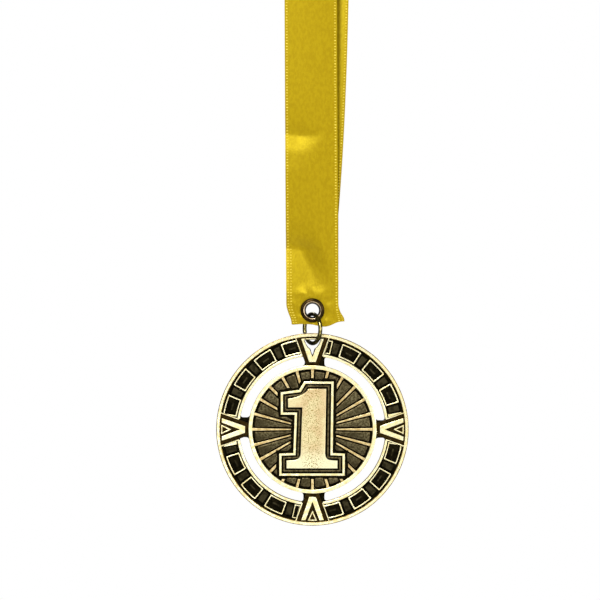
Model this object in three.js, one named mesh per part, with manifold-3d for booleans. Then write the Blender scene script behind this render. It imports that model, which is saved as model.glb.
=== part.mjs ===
// A sports finisher medal: a cast disc with a raised numeral one, hung by a split jump ring
// from an eyelet that is set through both ends of a folded satin neck ribbon.
// Millimetres. +Z is up and the face of the disc looks along -Y. The origin is the inside of the
// ribbon's loop at its top, where a neck, a peg or a rail carries it.
import * as THREE from "three";
import { mergeVertices } from "three/addons/utils/BufferGeometryUtils.js";
import Module from "manifold-3d";

// ---------------------------------------------------------------- driving dimensions
const gap = 0.3; // between pieces that touch on the real object

// neck ribbon
const ribbonWidth = 19;
const ribbonThickness = 0.3;
const plyGap = 0.15; // between the two plies where the eyelet clamps them
const loopRadius = 12.5; // inside the loop's top
const eyeletDrop = 367.75; // from the origin to the eyelet, for a ribbon 762 long before folding
const tailBelowEyelet = 5.65;
const stackAboveEyelet = 7; // the two plies part this far above the eyelet
const frontLean = { most: -1.2, from: 0, settle: 150 }; // sideways drift of a ply with height
const rearLean = { most: 5.2, from: 35, settle: 60 };

// eyelet and washer
const eyeletThroat = 2.6; // radii
const eyeletBarrel = 3.0;
const eyeletFlange = 4.35;
const eyeletLip = 3.85;
const ribbonHole = 3.35;
const washerThickness = 0.3;

// jump ring
const wireRadius = 0.75;
const ringRadius = 5.35; // to the middle of the wire
const ringYaw = THREE.MathUtils.degToRad(32); // from edge-on to the face
const ringTopBelowEyelet = 1.35; // to the middle of the wire
const seamWidth = 0.3;
const seamAngle = THREE.MathUtils.degToRad(200); // in the ring's plane, on its rear strand

// medal, all radii from the disc's centre and all levels from its flat back
const medalRadius = 35;
const medalThickness = 2.8;
const bandFloor = 1.5;
const discFloor = 1.6;
const rimInner = 33.6;
const slot = { inner: 23.3, outer: 26.65 };
// Each slot's middle in degrees, and how far its clockwise and anticlockwise ends keep off the axes.
const slots = [[45, 3.2, 4.4], [135, 2.8, 4.3], [225, 2.9, 3.3], [315, 4.4, 3.1]];
const bandLipOuter = 27.6;
const discRimInner = 21.93;
const hole = { top: 32.5, bottom: 26.1, width: 5.4, bevel: 0.6 };
const box = { inner: 28, outer: 32.95, half: 6.5, line: 0.42, count: 18, first: 4, barGap: 0.7 };
const ray = { count: 24, inner: 4, outer: 21.95, half: 0.5, innerHalf: 0.15 };
const panel = { inner: 6.5, outer: 21.1, groove: 0.45, clear: 3.4 };
const plate = { bottom: 23.2, bottomWidth: 4, top: 34.3, topWidth: 11.9 };
const plateRecess = { bottom: 22.5, bottomWidth: 4.6, top: 34.3, topWidth: 13 };
const ridgeInner = 0.5; // offsets from the numeral's own edge
const ridgeOuter = 1.1;
const outlineInner = 1.8;
const outlineOuter = 2.65;
const rayClear = 3.85;
const level = {
  root: 1, // of what is raised, inside the blank
  bandLip: 2.6,
  discRim: 2.7,
  frame: 2.5,
  bar: 1.95,
  ray: 2.35,
  panel: 2.05,
  numeral: 2.7,
  ridge: 2,
  outline: 2.6,
  plate: 2,
  sideLine: 2.5,
  triangle: 2.6,
  above: 4, // clear of everything, for cuts
};

const colours = { gold: 0xb99a55, bronze: 0x5a4526, brass: 0x8a7440, yellow: 0xd2b21c };

const eyeletZ = -eyeletDrop;
const ringZ = eyeletZ - ringTopBelowEyelet - ringRadius;
const barGap = gap + 0.15; // clears the ring where it curves up beside the bar
const medalZ = ringZ - ringRadius + wireRadius + barGap - hole.top;
const medalBack = medalThickness / 2;
const plyMiddle = (ribbonThickness + plyGap) / 2;
const plyFace = plyMiddle + ribbonThickness / 2;

// ---------------------------------------------------------------- solids
const wasm = await Module();
wasm.setup();

function solid(geometry) {
  const bare = geometry.clone();
  for (const name of Object.keys(bare.attributes)) {
    if (name !== "position") bare.deleteAttribute(name);
  }
  const merged = mergeVertices(bare, 1e-4);
  return new wasm.Manifold(
    new wasm.Mesh({
      numProp: 3,
      vertProperties: new Float32Array(merged.attributes.position.array),
      triVerts: new Uint32Array(merged.index.array),
    }),
  );
}

function geometryOf(body) {
  const mesh = body.getMesh();
  return new THREE.BufferGeometry()
    .setAttribute("position", new THREE.BufferAttribute(new Float32Array(mesh.vertProperties), 3))
    .setIndex(new THREE.BufferAttribute(new Uint32Array(mesh.triVerts), 1));
}

const join = (bodies) => bodies.reduce((whole, body) => whole.add(body));

function piece(name, geometry, color, roughness, metalness) {
  const shaded = geometry.index ? geometry.toNonIndexed() : geometry;
  shaded.computeVertexNormals();
  const mesh = new THREE.Mesh(
    shaded,
    new THREE.MeshStandardMaterial({ color, roughness, metalness }),
  );
  mesh.name = name;
  return mesh;
}

// A profile of [radius, y] points, closed on itself, turned about the Y axis.
function turned(points, segments) {
  const profile = [...points, points[0]].reverse().map(([r, y]) => new THREE.Vector2(r, y));
  return new THREE.LatheGeometry(profile, segments);
}

// ---------------------------------------------------------------- neck ribbon
const drift = ({ most, from, settle }, height) =>
  height > from ? most * (1 - Math.exp((from - height) / settle)) : 0;

// The middle line of the ribbon from its front cut end, over the loop, to its rear cut end.
function ribbonRoute() {
  const radius = loopRadius + ribbonThickness / 2;
  const partZ = eyeletZ + stackAboveEyelet;
  const height = -loopRadius - partZ;
  const reach = Math.hypot(height, plyMiddle);
  const lean = Math.asin(radius / reach) - Math.atan2(plyMiddle, height);
  const legSteps = 12;
  const arcSteps = 18;
  const points = [[-plyMiddle, eyeletZ - tailBelowEyelet], [-plyMiddle, partZ]];
  const foot = [-radius * Math.cos(lean), -loopRadius - radius * Math.sin(lean)];
  for (let i = 1; i < legSteps; i++) {
    const t = i / legSteps;
    points.push([
      -plyMiddle + t * (foot[0] + plyMiddle),
      partZ + t * (foot[1] - partZ),
    ]);
  }
  for (let i = 0; i <= arcSteps / 2; i++) {
    const angle = Math.PI + lean - (i / arcSteps) * (Math.PI + 2 * lean);
    points.push([radius * Math.cos(angle), -loopRadius + radius * Math.sin(angle)]);
  }
  const rear = points.slice(0, -1).reverse().map(([y, z]) => [-y, z]);
  return [...points, ...rear];
}

// Where a point of the ribbon sits sideways: each ply drifts with height, and the top joins them.
function ribbonShift(y, z) {
  const height = z - eyeletZ;
  const front = drift(frontLean, height);
  const rear = drift(rearLean, height);
  const turn = THREE.MathUtils.smoothstep(y, -loopRadius, loopRadius);
  const over = THREE.MathUtils.smoothstep(z, -2.5 * loopRadius, -loopRadius / 2);
  const side = y < 0 ? 0 : 1;
  return THREE.MathUtils.lerp(front, rear, THREE.MathUtils.lerp(side, turn, over));
}

function neckRibbon() {
  const route = ribbonRoute();
  const half = ribbonThickness / 2;
  const offset = (i, side) => {
    const [y0, z0] = route[Math.max(i - 1, 0)];
    const [y1, z1] = route[Math.min(i + 1, route.length - 1)];
    const length = Math.hypot(y1 - y0, z1 - z0);
    const [y, z] = route[i];
    return new THREE.Vector2(
      y - (side * half * (z1 - z0)) / length,
      z + (side * half * (y1 - y0)) / length,
    );
  };
  const outer = route.map((_, i) => offset(i, 1));
  const inner = route.map((_, i) => offset(i, -1)).reverse();
  const strip = new THREE.ExtrudeGeometry(new THREE.Shape([...outer, ...inner]), {
    depth: ribbonWidth,
    bevelEnabled: false,
  });
  // The shape's x and y become Y and Z, and its depth runs along X.
  strip.translate(0, 0, -ribbonWidth / 2);
  strip.rotateX(Math.PI / 2).rotateZ(Math.PI / 2);
  const at = strip.attributes.position;
  for (let i = 0; i < at.count; i++) {
    at.setX(i, at.getX(i) + ribbonShift(at.getY(i), at.getZ(i)));
  }
  const punch = new THREE.CylinderGeometry(ribbonHole, ribbonHole, 4, 24);
  punch.translate(0, 0, eyeletZ);
  return geometryOf(solid(strip).subtract(solid(punch)));
}

// ---------------------------------------------------------------- eyelet and washer
// The barrel goes through both plies. Its front is a domed flange and its rear is rolled over.
function eyelet() {
  const back = plyFace + gap; // clear of the ribbon
  const roll = back + washerThickness + gap;
  const outer = [
    [eyeletBarrel, -back],
    [eyeletFlange, -back],
    [eyeletFlange - 0.05, -back - 0.25],
    [eyeletFlange - 0.45, -back - 0.6],
    [eyeletFlange - 0.95, -back - 0.7],
  ];
  const throat = [
    [eyeletThroat + 0.5, -back - 0.5],
    [eyeletThroat + 0.2, -back],
    [eyeletThroat, -back / 3],
    [eyeletThroat, back / 3],
    [eyeletThroat + 0.2, roll - 0.35],
    [eyeletThroat + 0.5, roll + 0.1],
  ];
  const lip = [
    [eyeletLip - 0.55, roll + 0.35],
    [eyeletLip - 0.15, roll + 0.25],
    [eyeletLip, roll],
    [eyeletBarrel + 0.35, roll],
    [eyeletBarrel, roll - 0.3],
  ];
  return turned([...outer, ...throat, ...lip], 32).translate(0, 0, eyeletZ);
}

function washer() {
  const front = plyFace + gap;
  const rear = front + washerThickness;
  const section = [
    [ribbonHole, front],
    [ribbonHole, rear],
    [eyeletFlange, rear],
    [eyeletFlange, front],
  ];
  return turned(section, 32).translate(0, 0, eyeletZ);
}

// ---------------------------------------------------------------- jump ring
class OpenRing extends THREE.Curve {
  getPoint(t, target = new THREE.Vector3()) {
    const half = seamWidth / ringRadius / 2;
    const angle = seamAngle + half + t * 2 * (Math.PI - half);
    return target.set(ringRadius * Math.cos(angle), 0, ringRadius * Math.sin(angle));
  }
}

function jumpRing() {
  const sides = 12;
  const section = new THREE.Shape(
    Array.from({ length: sides }, (_, i) => {
      const angle = (2 * Math.PI * i) / sides;
      return new THREE.Vector2(wireRadius * Math.cos(angle), wireRadius * Math.sin(angle));
    }),
  );
  const ring = new THREE.ExtrudeGeometry(section, {
    steps: 44,
    extrudePath: new OpenRing(),
    bevelEnabled: false,
  });
  // Local +X is the front strand, which turns from the face's normal towards +X.
  return ring.rotateZ(ringYaw - Math.PI / 2).translate(0, 0, ringZ);
}

// ---------------------------------------------------------------- medal
// A flat outline in the face's plane, standing from one level above the back to another.
function raised(shape, from, to) {
  const geometry = new THREE.ExtrudeGeometry(shape, {
    depth: to - from,
    bevelEnabled: false,
    curveSegments: 3,
  });
  geometry.translate(0, 0, from - medalBack);
  return solid(geometry.rotateX(Math.PI / 2));
}

const radians = THREE.MathUtils.degToRad;
const degreesAcross = (width, radius) => THREE.MathUtils.radToDeg(Math.asin(width / radius));
const polar = (radius, degrees) =>
  new THREE.Vector2(radius * Math.cos(radians(degrees)), radius * Math.sin(radians(degrees)));
const turnedBy = (points, degrees) =>
  points.map((p) => p.clone().rotateAround(new THREE.Vector2(), radians(degrees)));

function circlePoints(radius, from = 0, to = 360, step = 4) {
  const count = Math.max(1, Math.round(Math.abs(to - from) / step));
  const last = Math.abs(to - from) === 360 ? count - 1 : count;
  return Array.from({ length: last + 1 }, (_, i) => polar(radius, from + ((to - from) * i) / count));
}

function annulus(inner, outer) {
  const shape = new THREE.Shape(circlePoints(outer));
  shape.holes.push(new THREE.Path(circlePoints(inner).reverse()));
  return shape;
}

// Each side of a closed outline moved out by a distance, with sharp corners.
function grown(points, distance) {
  const count = points.length;
  return points.map((p, i) => {
    const before = p.clone().sub(points[(i + count - 1) % count]).normalize();
    const after = points[(i + 1) % count].clone().sub(p).normalize();
    const outA = new THREE.Vector2(before.y, -before.x);
    const outB = new THREE.Vector2(after.y, -after.x);
    const middle = outA.clone().add(outB).normalize();
    return p.clone().addScaledVector(middle, distance / middle.dot(outA));
  });
}

function framed(points, width) {
  const shape = new THREE.Shape(points);
  shape.holes.push(new THREE.Path(grown(points, -width).reverse()));
  return shape;
}

// The numeral's edge, counter-clockwise from the lower left corner of its foot. Its face has
// rounded inner corners, and the outlines that follow it further out have sharp ones.
function numeralPoints(rounded) {
  const shape = new THREE.Shape();
  const bend = (cornerX, cornerZ, x, z) => {
    if (rounded) shape.quadraticCurveTo(cornerX, cornerZ, x, z);
    else shape.lineTo(cornerX, cornerZ);
  };
  shape.moveTo(-9.43, -14.2);
  shape.lineTo(9.13, -14.2);
  shape.lineTo(9.13, -11.3);
  if (rounded) shape.lineTo(6.9, -11.2);
  bend(4.7, -11.1, 4.6, -8.8);
  shape.lineTo(5.05, 14.8);
  shape.lineTo(-1.42, 14.8);
  bend(-3.2, 11.9, -8.9, 11.2);
  if (!rounded) shape.lineTo(-8.9, 11.2);
  shape.lineTo(-8.9, 8.0);
  shape.lineTo(-3.7, 8.0);
  if (rounded) shape.lineTo(-4.3, -8.6);
  bend(-4.4, -11.1, -7.0, -11.2);
  shape.lineTo(-9.43, -11.3);
  return shape.getPoints(4);
}

function blank() {
  const plate = raised(new THREE.Shape(circlePoints(medalRadius)), 0, discFloor);
  const band = raised(annulus(slot.outer, medalRadius + 1), bandFloor, level.above);
  return plate.subtract(band);
}

function rims() {
  return [
    raised(annulus(rimInner, medalRadius), level.root, medalThickness),
    raised(annulus(slot.outer, bandLipOuter), level.root, level.bandLip),
    raised(annulus(discRimInner, slot.inner), level.root, level.discRim),
  ];
}

function slotShape([middle, clearBefore, clearAfter]) {
  const from = (radius) => middle - 45 + degreesAcross(clearBefore, radius);
  const to = (radius) => middle + 45 - degreesAcross(clearAfter, radius);
  const outer = circlePoints(slot.outer, from(slot.outer), to(slot.outer));
  const inner = circlePoints(slot.inner, to(slot.inner), from(slot.inner));
  return new THREE.Shape([...outer, ...inner]);
}

// Wedge-sided frames round the band. The chevrons cover most of the four on the axes.
function boxes() {
  return Array.from({ length: box.count }, (_, i) => {
    const middle = box.first + (360 / box.count) * i;
    const outer = circlePoints(box.outer, middle - box.half, middle + box.half, 5);
    const inner = circlePoints(box.inner, middle + box.half, middle - box.half, 5);
    return raised(framed([...outer, ...inner], box.line), level.root, level.frame);
  });
}

// A tapered bar lies across the band between each pair of frames.
function crossBars() {
  const half = 180 / box.count - box.half - box.barGap;
  return Array.from({ length: box.count }, (_, i) => {
    const middle = box.first + (360 / box.count) * (i + 0.5);
    const corners = [
      polar(box.outer, middle - half),
      polar(box.outer, middle + half),
      polar(box.inner, middle + half),
      polar(box.inner, middle - half),
    ];
    return raised(new THREE.Shape(corners), level.root, level.bar);
  });
}

// The outline of a V or a trapezoid is drawn with its apex towards the disc's centre along +Y.
function wedge({ bottom, bottomWidth, top, topWidth }) {
  return [
    new THREE.Vector2(-bottomWidth / 2, bottom),
    new THREE.Vector2(bottomWidth / 2, bottom),
    new THREE.Vector2(topWidth / 2, top),
    new THREE.Vector2(-topWidth / 2, top),
  ];
}

function chevron(degrees, holed) {
  const around = (points) => turnedBy(points, degrees - 90);
  const base = raised(new THREE.Shape(around(wedge(plate))), level.root, level.plate);
  const sideLines = [-1, 1].map((side) => {
    const line = [
      new THREE.Vector2(side * 3.2, 26.7),
      new THREE.Vector2(side * 3.65, 26.7),
      new THREE.Vector2(side * 6.37, 34.3),
      new THREE.Vector2(side * 5.92, 34.3),
    ];
    const ordered = side > 0 ? line : line.reverse();
    return raised(new THREE.Shape(around(ordered)), level.root, level.sideLine);
  });
  const letterV = [
    new THREE.Vector2(-1.22, 24.55),
    new THREE.Vector2(1.22, 24.55),
    new THREE.Vector2(4.5, 33.2),
    new THREE.Vector2(2.95, 33.2),
    new THREE.Vector2(0, 26.1),
    new THREE.Vector2(-2.95, 33.2),
    new THREE.Vector2(-4.5, 33.2),
  ];
  const letter = raised(new THREE.Shape(around(letterV)), level.root, medalThickness);
  const bodies = [base, ...sideLines, letter];
  if (!holed) {
    const small = [
      new THREE.Vector2(0, 29.1),
      new THREE.Vector2(1.9, 34.2),
      new THREE.Vector2(-1.9, 34.2),
    ];
    bodies.push(raised(framed(around(small), box.line), level.root, level.triangle));
  }
  return join(bodies);
}

function rays(edge) {
  const all = Array.from({ length: ray.count }, (_, i) => {
    const arm = [
      new THREE.Vector2(ray.inner, -ray.innerHalf),
      new THREE.Vector2(ray.outer, -ray.half),
      new THREE.Vector2(ray.outer, ray.half),
      new THREE.Vector2(ray.inner, ray.innerHalf),
    ];
    const turnedArm = turnedBy(arm, (360 / ray.count) * i);
    return raised(new THREE.Shape(turnedArm), level.root, level.ray);
  });
  return join(all).subtract(raised(new THREE.Shape(grown(edge, rayClear)), 0, level.above));
}

function panels(edge) {
  const pitch = 360 / ray.count;
  const all = Array.from({ length: ray.count }, (_, i) => {
    const inset = (radius) => {
      const halfRay = ray.innerHalf + ((ray.half - ray.innerHalf) * radius) / ray.outer;
      return THREE.MathUtils.radToDeg((halfRay + panel.groove) / radius);
    };
    const outer = circlePoints(
      panel.outer, pitch * i + inset(panel.outer), pitch * (i + 1) - inset(panel.outer), 5,
    );
    const inner = [
      polar(panel.inner, pitch * (i + 1) - inset(panel.inner)),
      polar(panel.inner, pitch * i + inset(panel.inner)),
    ];
    return raised(new THREE.Shape([...outer, ...inner]), level.root, level.panel);
  });
  return join(all).subtract(raised(new THREE.Shape(grown(edge, panel.clear)), 0, level.above));
}

// The outline is a raised ring round the numeral, with a lower ridge between the two.
function numeral(edge) {
  const outline = new THREE.Shape(grown(edge, outlineOuter));
  outline.holes.push(new THREE.Path(grown(edge, outlineInner).reverse()));
  const ridge = new THREE.Shape(grown(edge, ridgeOuter));
  ridge.holes.push(new THREE.Path(grown(edge, ridgeInner).reverse()));
  return [
    raised(new THREE.Shape(numeralPoints(true)), level.root, level.numeral),
    raised(ridge, level.root, level.ridge),
    raised(outline, level.root, level.outline),
  ];
}

// Through the top chevron, with both of its mouths bevelled for the ring.
function hangingHole() {
  const shape = new THREE.Shape([
    new THREE.Vector2(0, hole.bottom),
    new THREE.Vector2(hole.width / 2, hole.top),
    new THREE.Vector2(-hole.width / 2, hole.top),
  ]);
  const mouth = (level, outwards) => {
    const flare = new THREE.ExtrudeGeometry(shape, {
      depth: 1,
      bevelThickness: hole.bevel,
      bevelSize: hole.bevel,
      bevelSegments: 1,
    });
    const start = outwards > 0 ? level : level - 1;
    flare.translate(0, 0, start - medalBack);
    return solid(flare.rotateX(Math.PI / 2));
  };
  return join([raised(shape, -1, level.above), mouth(medalThickness, 1), mouth(0, -1)]);
}

function medal() {
  const edge = numeralPoints(false);
  const bodies = [
    blank(),
    ...rims(),
    ...boxes(),
    ...crossBars(),
    rays(edge),
    panels(edge),
    ...numeral(edge),
  ];
  let casting = join(bodies);
  for (const ends of slots) {
    casting = casting.subtract(raised(slotShape(ends), -1, level.above));
  }
  const insideRim = raised(annulus(slot.inner, rimInner + 0.1), 0, level.above);
  for (const degrees of [0, 90, 180, 270]) {
    const outline = new THREE.Shape(turnedBy(wedge(plateRecess), degrees - 90));
    const recess = raised(outline, bandFloor - 0.05, level.above).intersect(insideRim);
    casting = casting.subtract(recess).add(chevron(degrees, degrees === 90));
  }
  return geometryOf(casting.subtract(hangingHole())).translate(0, 0, medalZ);
}

// ---------------------------------------------------------------- assembly
const finisherMedal = new THREE.Group();
finisherMedal.add(
  piece("neck_ribbon", neckRibbon(), colours.yellow, 0.45, 0),
  piece("eyelet", eyelet(), colours.bronze, 0.4, 0.9),
  piece("eyelet_washer", washer(), colours.bronze, 0.45, 0.9),
  piece("jump_ring", jumpRing(), colours.brass, 0.35, 0.9),
  piece("medal", medal(), colours.gold, 0.45, 0.85),
);

export default finisherMedal;
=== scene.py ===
"""A sports finisher medal on a satin neck ribbon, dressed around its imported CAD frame.

Lengths are in millimetres until a mesh is made, which is where they become metres. +Z is up, the
face of the medal looks along -Y, and the origin is the inside of the ribbon's loop at its top.
"""

import math

import bmesh
import bpy
import numpy as np
from mathutils import Matrix, Vector
from mathutils.geometry import delaunay_2d_cdt, tessellate_polygon

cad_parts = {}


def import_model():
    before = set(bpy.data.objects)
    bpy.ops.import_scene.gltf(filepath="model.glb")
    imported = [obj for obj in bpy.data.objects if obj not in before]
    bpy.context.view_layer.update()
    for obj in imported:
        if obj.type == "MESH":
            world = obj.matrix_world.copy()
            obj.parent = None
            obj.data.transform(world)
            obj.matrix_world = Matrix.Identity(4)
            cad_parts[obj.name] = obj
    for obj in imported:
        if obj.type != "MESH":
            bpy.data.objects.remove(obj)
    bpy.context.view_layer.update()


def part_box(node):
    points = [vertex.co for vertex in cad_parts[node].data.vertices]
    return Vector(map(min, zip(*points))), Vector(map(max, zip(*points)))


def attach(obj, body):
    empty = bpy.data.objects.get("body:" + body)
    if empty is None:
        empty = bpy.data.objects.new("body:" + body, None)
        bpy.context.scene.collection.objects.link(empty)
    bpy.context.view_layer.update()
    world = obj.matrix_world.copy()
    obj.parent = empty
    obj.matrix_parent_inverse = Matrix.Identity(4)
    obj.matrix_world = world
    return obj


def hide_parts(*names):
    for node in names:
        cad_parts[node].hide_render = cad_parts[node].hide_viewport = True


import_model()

MM = 0.001


def node_centre(node):
    """The middle of a CAD node's box, in millimetres."""
    low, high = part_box(node)
    return [(a + b) / 2 / MM for a, b in zip(low, high)]


# ---------------------------------------------------------------- camera, lights and floor
CAMERA_AT = (-4.52, -600.0, -364.0)
FRAME_WIDTH = 218.7  # of the picture, in the plane of the medal
SENSOR_WIDTH = 36.0
FLOOR_Z = -640.0
FLOOR_RADIUS = 620.0
FLOOR_GREY = 0.86
ROOM_LIGHT = 0.5  # of the white room behind the lights
# Each light's name, place, size and power in watts. They all aim at the medal.
LIGHTS = (
    ("key", (-150, -700, 60), 150, 4.4),
    ("fill", (520, -560, -350), 420, 2.4),
    ("front", (-60, -760, -520), 160, 0.28),
    ("rear", (-260, 700, 320), 300, 4.0),
)


def make_camera():
    data = bpy.data.cameras.new("camera")
    data.sensor_width = SENSOR_WIDTH
    data.lens = SENSOR_WIDTH * -CAMERA_AT[1] / FRAME_WIDTH
    data.clip_start = 0.01
    camera = bpy.data.objects.new("camera", data)
    camera.location = [v * MM for v in CAMERA_AT]
    camera.rotation_euler = (math.pi / 2, 0, 0)
    bpy.context.scene.collection.objects.link(camera)
    bpy.context.scene.camera = camera


def soft_light(name, place, target, size, power):
    data = bpy.data.lights.new(name, "AREA")
    data.shape = "DISK"
    data.size = size * MM
    data.energy = power
    light = bpy.data.objects.new(name, data)
    light.location = [v * MM for v in place]
    aim = Vector(target) - Vector(place)
    light.rotation_euler = aim.to_track_quat("-Z", "Y").to_euler()
    bpy.context.scene.collection.objects.link(light)


def make_studio():
    world = bpy.data.worlds.new("studio")
    world.use_nodes = True
    nodes, links = world.node_tree.nodes, world.node_tree.links
    nodes["Background"].inputs["Color"].default_value = (1, 1, 1, 1)
    path = nodes.new("ShaderNodeLightPath")
    strength = nodes.new("ShaderNodeMapRange")
    strength.inputs["To Min"].default_value = ROOM_LIGHT
    strength.inputs["To Max"].default_value = 1.0
    links.new(path.outputs["Is Camera Ray"], strength.inputs["Value"])
    links.new(strength.outputs["Result"], nodes["Background"].inputs["Strength"])
    bpy.context.scene.world = world
    bpy.context.scene.view_settings.view_transform = "Standard"
    medal = node_centre("medal")
    for name, place, size, power in LIGHTS:
        soft_light(name, place, medal, size, power)


def make_floor():
    bm = bmesh.new()
    bmesh.ops.create_circle(bm, cap_ends=True, radius=FLOOR_RADIUS * MM, segments=96)
    mesh = bpy.data.meshes.new("floor")
    bm.to_mesh(mesh)
    bm.free()
    floor = bpy.data.objects.new("floor", mesh)
    floor.location.z = FLOOR_Z * MM
    mesh.materials.append(painted("floor_paint", [FLOOR_GREY] * 3))
    bpy.context.scene.collection.objects.link(floor)


# ---------------------------------------------------------------- materials
def new_material(name):
    material = bpy.data.materials.new(name)
    material.use_nodes = True
    nodes = material.node_tree.nodes
    return material, nodes, material.node_tree.links, nodes["Principled BSDF"]


def painted(name, colour):
    material, nodes, links, shader = new_material(name)
    noise = noise_of(nodes, links, 3.0, 2)
    blend_colours(nodes, links, shader, noise.outputs["Fac"], colour, [c * 0.97 for c in colour])
    shader.inputs["Roughness"].default_value = 0.9
    return material


def linear(red, green, blue):
    """A display colour, 0 to 255, as the linear values that a shader takes."""
    def channel(v):
        v /= 255
        return v / 12.92 if v <= 0.04045 else ((v + 0.055) / 1.055) ** 2.4
    return [channel(red), channel(green), channel(blue)]


def noise_of(nodes, links, size, detail, stretch=(1, 1, 1)):
    """Noise whose features are about size millimetres across, in the object's own space."""
    place = nodes.new("ShaderNodeTexCoord")
    mapping = nodes.new("ShaderNodeMapping")
    mapping.inputs["Scale"].default_value = stretch
    noise = nodes.new("ShaderNodeTexNoise")
    noise.inputs["Scale"].default_value = 1 / (size * MM)
    noise.inputs["Detail"].default_value = detail
    links.new(place.outputs["Object"], mapping.inputs["Vector"])
    links.new(mapping.outputs["Vector"], noise.inputs["Vector"])
    return noise


def ranged(nodes, links, value, low, high, to_low=0.0, to_high=1.0):
    """A value that eases from to_low to to_high while another goes from low to high."""
    step = nodes.new("ShaderNodeMapRange")
    step.interpolation_type = "SMOOTHSTEP"
    for name, number in (
        ("From Min", low), ("From Max", high), ("To Min", to_low), ("To Max", to_high),
    ):
        step.inputs[name].default_value = number
    links.new(value, step.inputs["Value"])
    return step.outputs["Result"]


def blend_colours(nodes, links, shader, factor, first, second):
    """Gives the shader a mix of two colours. The first may be the result of another mix."""
    mix = nodes.new("ShaderNodeMix")
    mix.data_type = "RGBA"
    links.new(factor, mix.inputs["Factor"])
    if hasattr(first, "links"):
        links.new(first, mix.inputs["A"])
    else:
        mix.inputs["A"].default_value = (*first, 1)
    mix.inputs["B"].default_value = (*second, 1)
    links.new(mix.outputs["Result"], shader.inputs["Base Color"])
    return mix.outputs["Result"]


def bumped(nodes, links, shader, height, depth):
    """Roughens the surface by a height map that is depth millimetres deep."""
    bump = nodes.new("ShaderNodeBump")
    bump.inputs["Strength"].default_value = 1.0
    bump.inputs["Distance"].default_value = depth * MM
    links.new(height, bump.inputs["Height"])
    links.new(bump.outputs["Normal"], shader.inputs["Normal"])


NOISE_RANGE = (0.3, 0.7)  # where nearly all of a noise's values are
STAIN_BLUR = 0.08  # how far the edge of a stain is spread, in those values
SHADE_SIZE = 9.0  # of the broad areas that a shade darkens
FOOT_LIGHT_FADE = (-12.5, -5.0)  # heights from the disc's middle: the painted light that makes the numeral's foot paler fades out between
PITTED_HALF = (1.5, 4.8)  # out from its middle line: the pits thin out between


def cast_metal(name, colour, stain, stained, grain, depth, roughness, shade=None):
    """Cast metal of one colour with stains of another. stained is the share of it that they take,
    grain is their size and depth is how far the casting's skin rises and falls. A shade darkens it
    in broad areas."""
    material, nodes, links, shader = new_material(name)
    patches = noise_of(nodes, links, grain, 5)
    low, high = NOISE_RANGE
    edge = low + (high - low) * stained
    mask = ranged(nodes, links, patches.outputs["Fac"], edge - STAIN_BLUR, edge + STAIN_BLUR)
    base = blend_colours(nodes, links, shader, mask, stain, colour)
    if shade:
        areas = noise_of(nodes, links, SHADE_SIZE, 1)
        darker = ranged(nodes, links, areas.outputs["Fac"], 0.42, 0.62, 0.0, 0.8)
        blend_colours(nodes, links, shader, darker, base, shade)
    shader.inputs["Metallic"].default_value = 1.0
    links.new(
        ranged(nodes, links, patches.outputs["Fac"], low, high, roughness + 0.12, roughness - 0.06),
        shader.inputs["Roughness"],
    )
    fine = noise_of(nodes, links, grain / 2.5, 4)
    bumped(nodes, links, shader, fine.outputs["Fac"], depth)
    return material


def numeral_metal(name, colour, stain, pit_colour, lit_foot_colour):
    """The sandy face of the numeral: fine pits up its middle, and painted light that makes its foot
    paler.
    """
    material, nodes, links, shader = new_material(name)
    patches = noise_of(nodes, links, 5.0, 3)
    mask = ranged(nodes, links, patches.outputs["Fac"], 0.42, 0.62)
    base = blend_colours(nodes, links, shader, mask, colour, stain)
    place = nodes.new("ShaderNodeTexCoord")
    axes = nodes.new("ShaderNodeSeparateXYZ")
    links.new(place.outputs["Object"], axes.inputs["Vector"])
    low, high = [(MEDAL_AT[2] + height) * MM for height in FOOT_LIGHT_FADE]
    # Painted light: the numeral grows paler towards its foot.
    foot_light = ranged(nodes, links, axes.outputs["Z"], low, high, 1.0, 0.0)
    base = blend_colours(nodes, links, shader, foot_light, base, lit_foot_colour)
    aside = nodes.new("ShaderNodeMath")
    aside.operation = "ABSOLUTE"
    links.new(axes.outputs["X"], aside.inputs[0])
    near, far = [distance * MM for distance in PITTED_HALF]
    inner = ranged(nodes, links, aside.outputs["Value"], near, far, 1.0, 0.2)
    pits = noise_of(nodes, links, 0.42, 1)
    deep = nodes.new("ShaderNodeMath")
    deep.operation = "MULTIPLY"
    links.new(ranged(nodes, links, pits.outputs["Fac"], 0.54, 0.62), deep.inputs[0])
    links.new(inner, deep.inputs[1])
    blend_colours(nodes, links, shader, deep.outputs["Value"], base, pit_colour)
    shader.inputs["Metallic"].default_value = 1.0
    shader.inputs["Roughness"].default_value = 0.38
    fine = noise_of(nodes, links, 0.3, 4)
    bumped(nodes, links, shader, fine.outputs["Fac"], 0.05)
    return material


def satin(name, colour, shade, glint):
    """Woven satin: mottled threads, and a sheen of the cloth's own colour."""
    material, nodes, links, shader = new_material(name)
    mottle = noise_of(nodes, links, 0.9, 4, (1, 1, 0.6))
    mask = ranged(nodes, links, mottle.outputs["Fac"], 0.35, 0.65)
    blend_colours(nodes, links, shader, mask, shade, colour)
    shader.inputs["Roughness"].default_value = 0.36
    shader.inputs["Specular IOR Level"].default_value = 1.0
    shader.inputs["Specular Tint"].default_value = (*glint, 1)
    weave = noise_of(nodes, links, 0.35, 3, (1, 1, 0.35))
    bumped(nodes, links, shader, weave.outputs["Fac"], 0.06)
    return material


PATINA, GOLD, RIM_EDGE, PANEL, PANEL_EDGE, NUMERAL, PLATE, STRIPE_HIGHLIGHT, BACK, RAY = range(10)


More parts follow.
